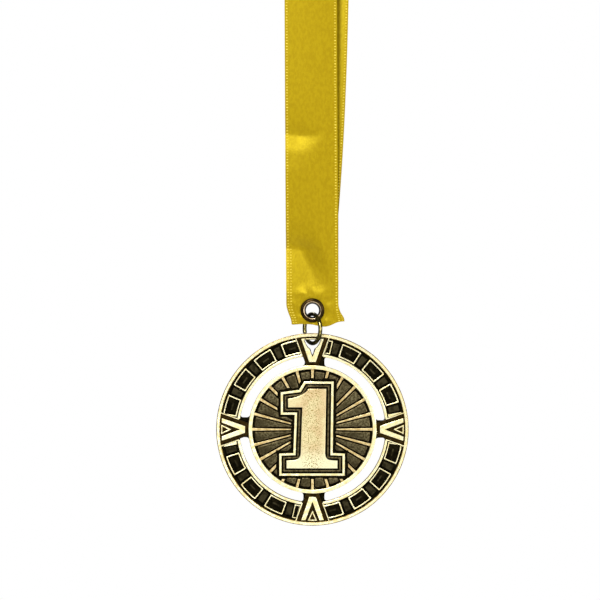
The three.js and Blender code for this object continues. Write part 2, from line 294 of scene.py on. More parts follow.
def medal_materials():
    """In the order of the slots above."""
    pale, warm = linear(250, 240, 192), linear(236, 220, 160)
    dark, brown = linear(15, 13, 6), linear(52, 39, 15)
    return [
        cast_metal(
            "patina", dark, linear(28, 24, 12),
            stained=0.45, grain=1.2, depth=0.05, roughness=0.55,
        ),
        cast_metal("worn_gold", pale, warm, stained=0.42, grain=1.6, depth=0.03, roughness=0.32),
        cast_metal(
            "rim_edge", linear(140, 114, 54), linear(92, 72, 32),
            stained=0.5, grain=1.0, depth=0.02, roughness=0.4,
        ),
        cast_metal(
            "panel", linear(98, 90, 64), linear(62, 55, 34),
            stained=0.5, grain=0.7, depth=0.08, roughness=0.5, shade=linear(56, 49, 30),
        ),
        cast_metal(
            "panel_edge", linear(112, 100, 70), linear(72, 62, 38),
            stained=0.45, grain=0.8, depth=0.05, roughness=0.4,
        ),
        numeral_metal(
            "numeral", linear(228, 214, 164), linear(220, 196, 148),
            pit_colour=linear(150, 122, 40), lit_foot_colour=linear(242, 236, 194),
        ),
        cast_metal(
            "plate", brown, linear(36, 26, 8),
            stained=0.45, grain=1.0, depth=0.04, roughness=0.45,
        ),
        # Painted highlight: the paler tops of the bars and of the pillows' ridges.
        cast_metal(
            "stripe_highlight", linear(57, 52, 34), linear(38, 34, 20),
            stained=0.45, grain=1.4, depth=0.04, roughness=0.5,
        ),
        cast_metal(
            "back", linear(200, 176, 108), linear(184, 160, 94),
            stained=0.45, grain=1.8, depth=0.015, roughness=0.4,
        ),
        cast_metal(
            "ray", linear(218, 196, 142), linear(190, 164, 108),
            stained=0.45, grain=1.2, depth=0.03, roughness=0.36,
        ),
    ]


# ---------------------------------------------------------------- outlines in the disc's plane
def polar(radius, degrees):
    angle = math.radians(degrees)
    return (radius * math.cos(angle), radius * math.sin(angle))


def arc(radius, start, end, step=2.0):
    count = max(1, round(abs(end - start) / step))
    return [polar(radius, start + (end - start) * i / count) for i in range(count + 1)]


def circle(radius, step=2.0):
    return arc(radius, 0, 360, step)[:-1]


def turned(points, degrees):
    """Points drawn with the chevron's apex towards the centre along +Y, turned to face degrees."""
    c, s = polar(1, degrees - 90)
    return [(c * x - s * y, s * x + c * y) for x, y in points]


def shifted(outline, distance):
    """Each side of a closed outline moved to its left, which is inwards when it runs anticlockwise."""
    points = np.array(outline, float)
    ahead = np.roll(points, -1, 0) - points
    ahead /= np.linalg.norm(ahead, axis=1)[:, None]
    behind = np.roll(ahead, 1, 0)
    left = np.stack([-ahead[:, 1], ahead[:, 0]], 1)
    left_behind = np.stack([-behind[:, 1], behind[:, 0]], 1)
    middle = left + left_behind
    middle /= np.linalg.norm(middle, axis=1)[:, None]
    moved = points + distance * middle / np.sum(middle * left, axis=1)[:, None]
    return [tuple(p) for p in moved]


def softened(outline, radius, steps=3, corner=25.0):
    """A closed outline with its corners rounded."""
    points = [Vector(p) for p in outline]
    made = []
    for i, p in enumerate(points):
        back, on = points[i - 1] - p, points[(i + 1) % len(points)] - p
        turn = math.pi - back.angle(on)
        if turn < math.radians(corner):
            made.append(p)
            continue
        cut = min(radius * math.tan(turn / 2), 0.45 * back.length, 0.45 * on.length)
        start, end = p + back.normalized() * cut, p + on.normalized() * cut
        for k in range(steps + 1):
            t = k / steps
            made.append(start * (1 - t) ** 2 + p * 2 * t * (1 - t) + end * t**2)
    return [tuple(p) for p in made]


def outside(outline, cutter, least=0.6):
    """What is left of an outline outside another one: a list of outlines, all anticlockwise."""
    points = [Vector(p) for p in outline] + [Vector(p) for p in cutter]
    count = len(outline)
    inputs = [list(range(count)), list(range(count, len(points)))]
    corners, _, triangles, _, _, origins = delaunay_2d_cdt(points, [], inputs, 1, 1e-5)
    sides = set()
    for triangle, origin in zip(triangles, origins):
        if 0 in origin and 1 not in origin:
            for k in range(3):
                sides.add((triangle[k], triangle[(k + 1) % 3]))
    following = {a: b for a, b in sides if (b, a) not in sides}
    loops = []
    while following:
        start, at = following.popitem()
        loop = [start]
        while at != start:
            loop.append(at)
            at = following.pop(at)
        loops.append(clean([tuple(corners[i]) for i in loop]))
    return [loop for loop in loops if len(loop) > 2 and area_of(loop) > least]


def clean(outline, shortest=0.02):
    """An outline without points that repeat, or that lie on a straight side."""
    kept = [p for i, p in enumerate(outline) if math.dist(p, outline[i - 1]) > shortest]
    made = []
    for i, p in enumerate(kept):
        a, b = Vector(kept[i - 1]) - Vector(p), Vector(kept[(i + 1) % len(kept)]) - Vector(p)
        if math.pi - a.angle(b) > math.radians(0.3):
            made.append(p)
    return made


def area_of(outline):
    points = np.array(outline, float)
    after = np.roll(points, -1, 0)
    return 0.5 * float(np.sum(points[:, 0] * after[:, 1] - points[:, 1] * after[:, 0]))


# ---------------------------------------------------------------- relief
MEDAL_AT = node_centre("medal")
BACK_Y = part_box("medal")[1][1] / MM
TOP_BORDER = 0.03  # round a flat top, which keeps the top flat where its edge is shaded smooth
MEDAL_MATERIALS = medal_materials()


def profile(foot, top, radius=0.12, draft=0.06):
    """Steps up the side of a raised shape, as (inset, level): a drafted wall, a rounded edge, and
    the border of its flat top."""
    return [
        (-draft, foot), (0, top - radius), (0.3 * radius, top - 0.3 * radius), (radius, top),
        (radius + TOP_BORDER, top),
    ]


def worn(top, edge=RIM_EDGE):
    """The finish of a raised shape with that profile: dark walls under a rubbed edge and top."""
    return (PATINA, edge, top, top, top)


def layer(bm, loops, inset, level):
    """The corners of every loop of a shape, moved inwards, at a level above the casting's back."""
    y = BACK_Y - level
    return [
        [bm.verts.new(Vector((x, y, z)) * MM) for x, z in shifted(loop, inset)] for loop in loops
    ]


def lid(bm, loops, rings, inset, material):
    """Closes a layer of a shape."""
    flat = [v for ring in rings for v in ring]
    outlines = [[Vector((x, y, 0)) for x, y in shifted(loop, inset)] for loop in loops]
    for triangle in tessellate_polygon(outlines):
        face = bm.faces.new([flat[i] for i in triangle])
        face.material_index = material


def relief(name, shapes, steps, finish):
    """Closed solids standing on the disc. A shape is a list of loops: its edge, anticlockwise, then
    its holes, clockwise. finish gives a material for each step up the side, and for the top."""
    bm = bmesh.new()
    for loops in shapes:
        rings = [layer(bm, loops, inset, level) for inset, level in steps]
        for below, above, material in zip(rings, rings[1:], finish):
            for low, high in zip(below, above):
                for i in range(len(low)):
                    face = bm.faces.new((low[i - 1], low[i], high[i], high[i - 1]))
                    face.material_index = material
        lid(bm, loops, rings[0], steps[0][0], finish[0])
        lid(bm, loops, rings[-1], steps[-1][0], finish[-1])
    bmesh.ops.recalc_face_normals(bm, faces=bm.faces)
    return as_object(name, bm, MEDAL_MATERIALS)


def as_object(name, bm, materials):
    mesh = bpy.data.meshes.new(name)
    bm.to_mesh(mesh)
    bm.free()
    for material in materials:
        mesh.materials.append(material)
    made = bpy.data.objects.new(name, mesh)
    bpy.context.scene.collection.objects.link(made)
    return made


def merged(*objects):
    """Several solids that don't overlap, as one object."""
    bm = bmesh.new()
    for solid in objects:
        bm.from_mesh(solid.data)
    made = as_object(objects[0].name, bm, MEDAL_MATERIALS)
    for solid in objects:
        bpy.data.objects.remove(solid)
    return made


def combine(base, operand, operation):
    """Unites two solids or cuts one from the other, and stops if that had no effect."""
    before = len(base.data.polygons)
    modifier = base.modifiers.new("combine", "BOOLEAN")
    modifier.operation = operation
    modifier.solver = "MANIFOLD"
    modifier.object = operand
    bpy.context.view_layer.update()
    solved = base.evaluated_get(bpy.context.evaluated_depsgraph_get())
    mesh = bpy.data.meshes.new_from_object(solved)
    if len(mesh.polygons) in (0, before):
        raise RuntimeError(f"{operation} with {operand.name} did nothing: is it closed?")
    base.modifiers.clear()
    base.data = mesh
    bpy.data.objects.remove(operand)
    return base


def smooth(solid, angle):
    """Smooth shading, with sharp edges where faces meet at more than an angle."""
    solid.data.shade_smooth()
    solid.data.set_sharp_from_angle(angle=math.radians(angle))
    return solid


# ---------------------------------------------------------------- medal
DISC_RADIUS, RIM_INNER = 35.0, 33.6
BODY_RADIUS = 34.3  # the casting's floor ends inside its rim
SLOT_INNER, SLOT_OUTER = 23.3, 26.65
# Each slot's middle, and how far its clockwise and anticlockwise ends stay from the axes.
SLOTS = ((45, 3.2, 4.4), (135, 2.8, 4.3), (225, 2.9, 3.3), (315, 4.4, 3.1))
LIP_OUTER = 27.6
DISC_RIM_INNER = 21.93

# Levels, above the casting's back.
BACK_PLATE, CHEVRON_FLOOR, FLOOR_LEVEL, THICKNESS = 0.12, 1.45, 1.5, 2.8
SUNK = 1.2  # raised shapes start here, inside the floor
PILLOW_TOP, BAR_TOP, REMNANT_TOP, FRAME_TOP = 1.96, 2.0, 2.4, 2.5
RIDGE_TOP, PANEL_TOP, RAY_TOP, OUTLINE_TOP, NUMERAL_TOP = 2.05, 2.1, 2.35, 2.6, 2.7
PLATE_TOP, TRIANGLE_TOP = 2.0, 2.6
OUTER_LIP_TOP, INNER_LIP_TOP = 2.6, 2.7
PAST_BACK, PAST_FRONT = -1, 4
THROUGH = [(0, PAST_BACK), (0, PAST_FRONT)]


def ring_shape(inner, outer):
    return [circle(outer), circle(inner)[::-1]]


def slot_outline(middle, clear_before, clear_after, grow=0.12, corner=0.9):
    """An arc slot between two chevrons. Its ends run along them, with rounded corners. It is cut a
    little wide, and the lips that are set beside it afterwards make its long edges."""
    inner, outer = SLOT_INNER - grow, SLOT_OUTER + grow
    def before(radius, pulled=corner):
        return middle - 45 + math.degrees(math.asin((clear_before + pulled) / radius))
    def after(radius, pulled=corner):
        return middle + 45 - math.degrees(math.asin((clear_after + pulled) / radius))
    # Points down each end, as a radius and how far it is pulled in: only near the two corners.
    steps, squareness = 8, 5
    shares = [k / steps for k in range(1, steps)]
    ends = [
        (outer + (inner - outer) * t, corner * abs(2 * t - 1) ** squareness) for t in shares
    ]
    points = arc(outer, before(outer), after(outer))
    points += [polar(radius, after(radius, pulled)) for radius, pulled in ends]
    points += arc(inner, after(inner), before(inner))
    points += [polar(radius, before(radius, pulled)) for radius, pulled in reversed(ends)]
    return points


def numeral_outline(rounded):
    """The numeral's edge, anticlockwise from the lower left of its foot. Without its rounded
    bends it is the plain outline that the bands round it follow."""
    def bend(start, control, end, steps=5):
        a, c, b = Vector(start), Vector(control), Vector(end)
        shares = [k / steps for k in range(steps + 1)]
        return [tuple(a * (1 - t) ** 2 + c * 2 * t * (1 - t) + b * t**2) for t in shares]
    right_serif = [(6.9, -11.2), (4.7, -11.1), (4.6, -8.8)]
    flag = [(-1.42, 14.8), (-3.2, 11.9), (-8.9, 11.2)]
    left_serif = [(-4.3, -8.6), (-4.4, -11.1), (-7.0, -11.2)]
    return [
        (-9.43, -14.2), (9.13, -14.2), (9.13, -11.3),
        *(bend(*right_serif) if rounded else right_serif[1:2]),
        (5.05, 14.8),
        *(bend(*flag, 8) if rounded else flag),
        (-8.9, 8.0), (-3.7, 8.0),
        *(bend(*left_serif) if rounded else left_serif[1:2]),
        (-9.43, -11.3),
    ]


def wedge(bottom, bottom_width, top, top_width):
    """An upright shape that widens from one height to another."""
    return [
        (-bottom_width / 2, bottom), (bottom_width / 2, bottom),
        (top_width / 2, top), (-top_width / 2, top),
    ]


CHEVRONS = (0, 90, 180, 270)
BOX_COUNT = 18
BOX_FIRST, BOX_HALF = 4, 6.5  # degrees: the first box's middle, and half of what a box spans
BOX_INNER, BOX_OUTER = 28.0, 32.95
LINE = 0.42  # the width of a frame's line
PILLOW_GAP = 0.15
BAR_GAP, BAR_INSET = 0.7, 0.1  # from the boxes in degrees, and from the band's edges
WHOLE_BEYOND = 12  # degrees from a chevron, which cuts off the boxes that are nearer
# Wedges on a chevron's axis: its plate, and what it cuts off the boxes beside it.
CHEVRON_PLATE, CHEVRON_CUT = (23.4, 4.6, 34.3, 12.5), (22, 4.14, 36, 14.16)
REMNANT_HALF, REMNANT_LINE, HOLLOW_ABOVE = 7.1, 0.34, 6  # a smaller remnant stays solid


def keep_out(degrees):
    """The ground that is cleared for a chevron, out to the rim."""
    foot_half, foot_radius = 2.6, 23.35
    top_half, top_radius = 6.4, 33.7
    half = math.degrees(math.asin(top_half / top_radius))
    foot = turned([(-foot_half, foot_radius), (foot_half, foot_radius)], degrees)
    return foot + arc(top_radius, degrees - half, degrees + half)


def box_outline(middle, inset=0.0, step=2.0, half=BOX_HALF):
    outer = arc(BOX_OUTER, middle - half, middle + half, step)
    inner = arc(BOX_INNER, middle + half, middle - half, step)
    outline = outer + inner
    return shifted(outline, inset) if inset else outline


def band_relief():
    """Frames with a low hipped pillow inside them, a bar across the band between each two, and
    what the chevrons leave of the frames beside them."""
    frames, remnants, pillows, bars = [], [], [], []
    for i in range(BOX_COUNT):
        middle = BOX_FIRST + 360 / BOX_COUNT * i
        near = min(CHEVRONS, key=lambda d: abs((middle - d + 180) % 360 - 180))
        away = abs((middle - near + 180) % 360 - 180)
        if away > WHOLE_BEYOND:
            hollow = softened(box_outline(middle, LINE), 0.2)[::-1]
            frames.append([softened(box_outline(middle), 0.35), hollow])
            pillows.append([box_outline(middle, LINE + PILLOW_GAP, 2 * BOX_HALF)])
        else:
            outline = box_outline(middle, half=REMNANT_HALF)
            for left in outside(outline, turned(wedge(*CHEVRON_CUT), near)):
                hollow = shifted(left, REMNANT_LINE)[::-1]
                remnants.append([left, hollow] if area_of(left) > HOLLOW_ABOVE else [left])
        half = 180 / BOX_COUNT - BOX_HALF - BAR_GAP
        between = middle + 180 / BOX_COUNT
        outer, inner = BOX_OUTER - BAR_INSET, BOX_INNER + BAR_INSET
        bars.append([[
            polar(outer, between - half), polar(outer, between + half),
            polar(inner, between + half), polar(inner, between - half),
        ]])
    hip = [(0, SUNK), (0, 1.55), (1.6, PILLOW_TOP - 0.01), (1.7, PILLOW_TOP)]
    round_bar = [
        (0, SUNK), (0, BAR_TOP - 0.4), (0.2, BAR_TOP - 0.16), (0.5, BAR_TOP - 0.03), (0.75, BAR_TOP),
    ]
    return [
        relief("frames", frames, profile(SUNK, FRAME_TOP, 0.1, 0.05), worn(GOLD)),
        # The pillows' ridges and the bars' rounded tops take the painted highlight.
        relief("pillows", pillows, hip, (PATINA, PATINA, STRIPE_HIGHLIGHT, STRIPE_HIGHLIGHT)),
        relief("bars", bars, round_bar, (PATINA, PATINA, PATINA, STRIPE_HIGHLIGHT, STRIPE_HIGHLIGHT)),
        relief("remnants", remnants, profile(SUNK, REMNANT_TOP, 0.1, 0.05), worn(GOLD)),
    ]


RAY_COUNT = 24
RAY_INNER, RAY_INNER_HALF = 4, 0.15  # a ray's inner end: its radius and half its width
RAY_OUTER, RAY_HALF = 22.2, 0.5
PANEL_INNER, PANEL_OUTER = 6.5, 21.1
PANEL_GROOVE = 0.42  # between a panel and the rays beside it
# Out from the numeral's edge.
RIDGE_FROM, RIDGE_TO = 0.65, 1.15
OUTLINE_FROM, OUTLINE_TO = 1.8, 2.65
PANELS_FROM, RAYS_FROM = 3.4, 3.85


def band_round(edge, near, far):
    """A band that goes round an outline, between two distances from it."""
    return [shifted(edge, -far), shifted(edge, -near)[::-1]]


def disc_relief():
    """Rays with textured panels between them, and the numeral inside its ridge and outline."""
    edge = numeral_outline(False)
    pitch = 360 / RAY_COUNT
    ray_plan = [
        (RAY_INNER, -RAY_INNER_HALF), (RAY_OUTER, -RAY_HALF),
        (RAY_OUTER, RAY_HALF), (RAY_INNER, RAY_INNER_HALF),
    ]

    def clear_of_ray(radius):
        half = RAY_INNER_HALF + (RAY_HALF - RAY_INNER_HALF) * radius / RAY_OUTER
        return math.degrees((half + PANEL_GROOVE) / radius)

    inner, outer = clear_of_ray(PANEL_INNER), clear_of_ray(PANEL_OUTER)
    rays, panels = [], []
    for i in range(RAY_COUNT):
        start, end = pitch * i, pitch * (i + 1)
        ray = turned(ray_plan, start + 90)
        rays += [[left] for left in outside(ray, shifted(edge, -RAYS_FROM), least=0.3)]
        panel = arc(PANEL_OUTER, start + outer, end - outer, 3)
        panel += [polar(PANEL_INNER, end - inner), polar(PANEL_INNER, start + inner)]
        pieces = outside(panel, shifted(edge, -PANELS_FROM), least=1.2)
        panels += [[softened(left, 0.55)] for left in pieces]
    ridge = band_round(edge, RIDGE_FROM, RIDGE_TO)
    outline = band_round(edge, OUTLINE_FROM, OUTLINE_TO)
    panel_steps = [
        (-0.05, SUNK), (0, PANEL_TOP - 0.25), (0.12, PANEL_TOP - 0.08), (0.32, PANEL_TOP),
    ]
    panel_finish = (PATINA, PANEL_EDGE, PANEL_EDGE, PANEL)
    numeral = [[numeral_outline(True)]]
    return [
        relief("rays", rays, profile(SUNK, RAY_TOP, 0.09, 0.04), worn(RAY)),
        relief("panels", panels, panel_steps, panel_finish),
        relief("numeral", numeral, profile(SUNK, NUMERAL_TOP, 0.18), worn(NUMERAL)),
        relief("ridge", [ridge], profile(SUNK, RIDGE_TOP), worn(PANEL_EDGE, PANEL_EDGE)),
        relief("outline", [outline], profile(SUNK, OUTLINE_TOP), worn(GOLD)),
    ]


def chevron_relief():
    """On each plate a V between two side lines, with an inner triangle on all but the top one,
    which has a bar above its hanging hole instead."""
    lines, small = [], []
    for degrees in CHEVRONS:
        for side in (-1, 1):
            line = [
                (side * 3.5, 26.7), (side * 3.9, 26.7), (side * 6.62, 34.3), (side * 6.22, 34.3),
            ]
            lines.append([turned(line[::side], degrees)])
        letter = [
            (-1.22, 24.55), (1.22, 24.55), (4.12, 33.0), (2.52, 33.0),
            (0, 26.3), (-2.52, 33.0), (-4.12, 33.0),
        ]
        lines.append([turned(softened(letter, 0.15), degrees)])
        if degrees == 90:
            lines.append([turned(wedge(32.75, 4.6, 33.15, 4.9), degrees)])
        else:
            triangle = turned([(0, 29.5), (1.72, 33.2), (-1.72, 33.2)], degrees)
            small.append([triangle, shifted(triangle, LINE)[::-1]])
    return [
        relief("lines", lines, profile(SUNK, THICKNESS), worn(GOLD)),
        relief("triangles", small, profile(SUNK, TRIANGLE_TOP, 0.1), worn(GOLD)),
    ]


def hanging_hole():
    """A triangle under the rim that the ring goes through, narrower below it."""
    right = [(0.35, 27.9), (0.7, 29.2), (1.6, 30.0), (2.3, 31.0), (2.95, 32.62)]
    return softened([(0, 27.0), *right, *((-x, z) for x, z in reversed(right))], 0.2)


def make_rim():
    steps = [
        (0.3, 0), (0.08, 0.08), (0, 0.3), (0, THICKNESS - 0.3),
        (0.08, THICKNESS - 0.08), (0.26, THICKNESS), (0.3, THICKNESS),
    ]
    finish = (BACK, BACK, RIM_EDGE, RIM_EDGE, RIM_EDGE, GOLD, GOLD)
    return relief("rim", [ring_shape(RIM_INNER, DISC_RADIUS)], steps, finish)


def make_lip(inner, outer, top):
    """A rounded lip beside the slots, which shows on both faces."""
    steps = [(0.2, 0.04), (0, 0.2), (0, top - 0.2), (0.06, top - 0.06), (0.2, top), (0.23, top)]
    finish = (BACK, RIM_EDGE, RIM_EDGE, GOLD, GOLD, GOLD)
    return relief("lip", [ring_shape(inner, outer)], steps, finish)


def make_medal():
    cut = (PATINA, PATINA)
    body = [(0, BACK_PLATE), (0, FLOOR_LEVEL)]
    medal = relief("medal_casting", [[circle(BODY_RADIUS)]], body, (BACK, PATINA))
    slots = [[slot_outline(*slot)] for slot in SLOTS]
    combine(medal, relief("slots", slots, THROUGH, cut), "DIFFERENCE")
    combine(medal, make_rim(), "UNION")
    combine(medal, make_lip(SLOT_OUTER, LIP_OUTER, OUTER_LIP_TOP), "UNION")
    combine(medal, make_lip(DISC_RIM_INNER, SLOT_INNER, INNER_LIP_TOP), "UNION")
    combine(medal, merged(*band_relief(), *disc_relief()), "UNION")
    # The chevrons' ground is cleared before their plates are set in it.
    ground = [(0, CHEVRON_FLOOR), (0, PAST_FRONT)]
    cleared = [[keep_out(d)] for d in CHEVRONS]
    combine(medal, relief("cleared", cleared, ground, cut), "DIFFERENCE")
    plates = [[turned(wedge(*CHEVRON_PLATE), d)] for d in CHEVRONS]
    combine(medal, relief("plates", plates, profile(0.5, PLATE_TOP, 0.15), (PLATE,) * 5), "UNION")
    combine(medal, merged(*chevron_relief()), "UNION")
    combine(medal, relief("hole", [[hanging_hole()]], THROUGH, cut), "DIFFERENCE")
    # Opens the hole out a little towards the front.
    mouth = [(0, 1.6), (-0.15, 1.9), (-0.2, THICKNESS + 0.1)]
    combine(medal, relief("mouth", [[hanging_hole()]], mouth, (PLATE,) * 3), "DIFFERENCE")
    medal.data.transform(Matrix.Translation(Vector((MEDAL_AT[0], 0, MEDAL_AT[2])) * MM))
    smooth(medal, 40)
    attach(medal, "disc")
    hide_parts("medal")


# ---------------------------------------------------------------- eyelet, washer and jump ring
EYELET_Z = round(node_centre("eyelet")[2], 2)
PLY_FACE = 0.375  # from the middle of the two stacked plies to the outside of either
FLANGE_GAP = 0.3  # between a flange and the ribbon's face
SKIN, CREST_HIGHLIGHT, THROAT_SHADE = range(3)


def lathe(name, section, materials, bands, segments=96):
    """A closed section of (radius, y) turned about the eyelet's axis."""
    bm = bmesh.new()
    rings = []
    for radius, y in section:
        angles = [2 * math.pi * k / segments for k in range(segments)]
        rings.append([
            bm.verts.new(Vector((radius * math.cos(a), y, EYELET_Z + radius * math.sin(a))) * MM)
            for a in angles
        ])
    for i, (low, high) in enumerate(zip(rings, rings[1:] + rings[:1])):
        for k in range(segments):
            face = bm.faces.new((low[k - 1], low[k], high[k], high[k - 1]))
            face.material_index = bands[i]
    bmesh.ops.recalc_face_normals(bm, faces=bm.faces)
    return smooth(as_object(name, bm, materials), 50)


def spline(points, steps=4):
    """A closed section with Catmull-Rom points between its own."""
    made = []
    count = len(points)
    for i in range(count):
        a, b, c, d = (Vector(points[(i + k) % count]) for k in (-1, 0, 1, 2))
        for k in range(steps):
            t = k / steps
            made.append(tuple(0.5 * (
                2 * b + (c - a) * t + (2 * a - 5 * b + 4 * c - d) * t**2
                + (3 * b - a - 3 * c + d) * t**3
            )))
    return made


def make_eyelet():
    """A flanged barrel, rolled over a flat washer behind the ribbon. Its dark bronze has a painted
    highlight ring on the flange's crest and painted shade down its throat."""
    bronze = cast_metal(
        "bronze", linear(56, 42, 20), linear(36, 27, 12),
        stained=0.45, grain=1.6, depth=0.02, roughness=0.42,
    )
    # Painted highlight: a pale ring round the flange's crest.
    crest_highlight = cast_metal(
        "bronze_crest_highlight", linear(214, 190, 152), linear(150, 124, 88),
        stained=0.4, grain=1.2, depth=0.02, roughness=0.34,
    )
    # Painted shade: darker bronze down the throat, inside the barrel.
    throat_shade = cast_metal(
        "bronze_throat_shade", linear(34, 26, 12), linear(16, 12, 6),
        stained=0.5, grain=1.0, depth=0.02, roughness=0.4,
    )
    back = PLY_FACE + FLANGE_GAP
    roll = back + 0.6
    # From the flange's underside over its crest, down the throat, round the roll and back.
    points = [
        (4.1, -back), (4.33, -back - 0.06), (4.34, -back - 0.26), (4.05, -back - 0.52),
        (3.55, -back - 0.68), (3.2, -back - 0.7), (2.95, -back - 0.58), (2.75, -back - 0.2),
        (2.45, -0.2), (2.38, 0.3), (2.6, roll - 0.4), (2.95, roll + 0.1), (3.3, roll + 0.33),
        (3.65, roll + 0.25), (3.82, roll + 0.08), (3.6, roll), (3.1, roll - 0.12), (3.0, roll - 0.5),
        (3.0, -back + 0.1), (3.15, -back),
    ]
    kinds = [SKIN] * 5 + [CREST_HIGHLIGHT] + [THROAT_SHADE] * 5 + [SKIN] * 9
    steps = 4
    bands = [kind for kind in kinds for _ in range(steps)]
    eyelet = lathe("eyelet_turned", spline(points, steps), [bronze, crest_highlight, throat_shade], bands)
    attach(eyelet, "ribbon")
    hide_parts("eyelet")
    washer_section = spline([
        (3.4, back + 0.03), (3.4, back + 0.27), (3.7, back + 0.29), (4.2, back + 0.28),
        (4.34, back + 0.15), (4.2, back + 0.02), (3.8, back + 0.01),
    ], 2)
    washer = lathe("washer_turned", washer_section, [bronze], [SKIN] * len(washer_section))
    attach(washer, "ribbon")
    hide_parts("eyelet_washer")


WIRE_RADIUS, RING_RADIUS = 0.75, 5.35
RING_YAW = math.radians(32)
SEAM_ANGLE, SEAM_WIDTH = math.radians(200), 0.3
SEAM_FILED = 0.9  # of the wire's radius, at its two cut faces
HIGHLIGHT_FACING = -0.94  # where the wire faces the front more squarely than this, it carries a painted highlight


def make_jump_ring():
    """A split ring of round wire. Its two cut faces meet at a narrow seam on the rear strand. Its
    antique finish is dark, with a painted highlight along the middle of its front."""
    brass = cast_metal(
        "wire_brass", linear(66, 60, 28), linear(34, 32, 14),
        stained=0.45, grain=1.6, depth=0.008, roughness=0.3,
    )
    # Painted highlight: pale wire on the faces that look squarely to the front.
    front_highlight = cast_metal(
        "wire_front_highlight", linear(222, 208, 138), linear(140, 126, 62),
        stained=0.35, grain=3.0, depth=0.006, roughness=0.24,
    )
    bm = bmesh.new()
    sides, steps = 28, 144
    half = SEAM_WIDTH / RING_RADIUS / 2
    centre = Vector((0, 0, node_centre("jump_ring")[2]))
    turn = Matrix.Rotation(RING_YAW - math.pi / 2, 3, "Z")
    rings = []
    for i in range(steps + 1):
        angle = SEAM_ANGLE + half + (2 * math.pi - 2 * half) * i / steps
        out = Vector((math.cos(angle), 0, math.sin(angle)))
        radius = WIRE_RADIUS * (SEAM_FILED if i in (0, steps) else 1)
        ring = []
        for k in range(sides):
            side = 2 * math.pi * k / sides
            at = out * (RING_RADIUS + radius * math.cos(side))
            at.y = radius * math.sin(side)
            ring.append(bm.verts.new((centre + turn @ at) * MM))
        rings.append(ring)
    for low, high in zip(rings, rings[1:]):
        for k in range(sides):
            bm.faces.new((low[k - 1], low[k], high[k], high[k - 1]))
    bm.faces.new(rings[0])
    bm.faces.new(rings[-1])
    bmesh.ops.recalc_face_normals(bm, faces=bm.faces)
    # Faces that look squarely to the front take the painted highlight.
    for face in bm.faces:
        face.material_index = int(face.normal.y < HIGHLIGHT_FACING)
    ring = smooth(as_object("ring_wire_round", bm, [brass, front_highlight]), 40)
    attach(ring, "ring")
    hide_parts("jump_ring")


# ---------------------------------------------------------------- neck ribbon
RIBBON_WIDTH, RIBBON_THICKNESS, PLY_GAP = 19.0, 0.3, 0.15
LOOP_RADIUS = 12.5
TAIL, STACK = 5.65, 7.0  # below and above the eyelet, where the two plies lie together
# How far each ply drifts sideways at most, from which height above the eyelet, and how soon.
FRONT_LEAN = {"most": -1.2, "start": 0.0, "settle": 150.0}
REAR_LEAN = {"most": 5.2, "start": 35.0, "settle": 60.0}
# How far the loose cut ends pull sideways: in the ribbon's middle, and more at its right edge.
FRONT_PULL, REAR_PULL = (1.4, -0.5), (2.15, 0.05)
PUCKERS, PUCKER_HEIGHT = 7, 0.2  # ripples round the eyelet, where its flange grips the cloth


def lean(height, most, start, settle):
    return np.where(height > start, most * (1 - np.exp((start - height) / settle)), 0.0)


def smoothstep(value, low, high):
    t = np.clip((value - low) / (high - low), 0, 1)
    return t * t * (3 - 2 * t)


def bell(value, middle, spread):
    return np.exp(-(((value - middle) / spread) ** 2))


def ribbon_route(spacing=0.5):
    """Even points (y, z) along the middle of the ribbon from its front cut end to its rear one."""
    radius = LOOP_RADIUS + RIBBON_THICKNESS / 2
    ply = (RIBBON_THICKNESS + PLY_GAP) / 2
    part_z = EYELET_Z + STACK
    height = -LOOP_RADIUS - part_z
    tilt = math.asin(radius / math.hypot(height, ply)) - math.atan2(ply, height)
    points = [(-ply, EYELET_Z - TAIL), (-ply, part_z)]
    steps = 60
    for k in range(steps + 1):
        angle = math.pi + tilt - (math.pi + 2 * tilt) * k / steps
        points.append((radius * math.cos(angle), -LOOP_RADIUS + radius * math.sin(angle)))
    points += [(ply, part_z), (ply, EYELET_Z - TAIL)]
    line = np.array(points)
    along = np.concatenate([[0], np.cumsum(np.linalg.norm(np.diff(line, axis=0), axis=1))])
    at = np.linspace(0, along[-1], round(along[-1] / spacing) + 1)
    even = np.stack([np.interp(at, along, line[:, 0]), np.interp(at, along, line[:, 1])], 1)
    # Rounds the bend where the two plies part.
    reach = 6
    window = np.hanning(2 * reach + 1) / np.hanning(2 * reach + 1).sum()
    even[reach:-reach] = np.stack([np.convolve(even[:, c], window, "valid") for c in (0, 1)], 1)
    return at, even


ROUTE_AT, ROUTE = ribbon_route()
RIBBON_LENGTH = float(ROUTE_AT[-1])

# How far the front ply stands out on its left half, at heights above the eyelet: it has two old
# creases, each with a steep side below and a long one above.
CREASES = (
    (-5, 0.0), (0, 0.0), (5, -0.1), (22.3, -3.9), (26.5, -1.9), (32, -0.6), (40, -0.1), (50, 0.0),
    (57, -0.4), (63.6, -1.4), (67, -0.3), (73, -0.05), (85, 0.0),
)


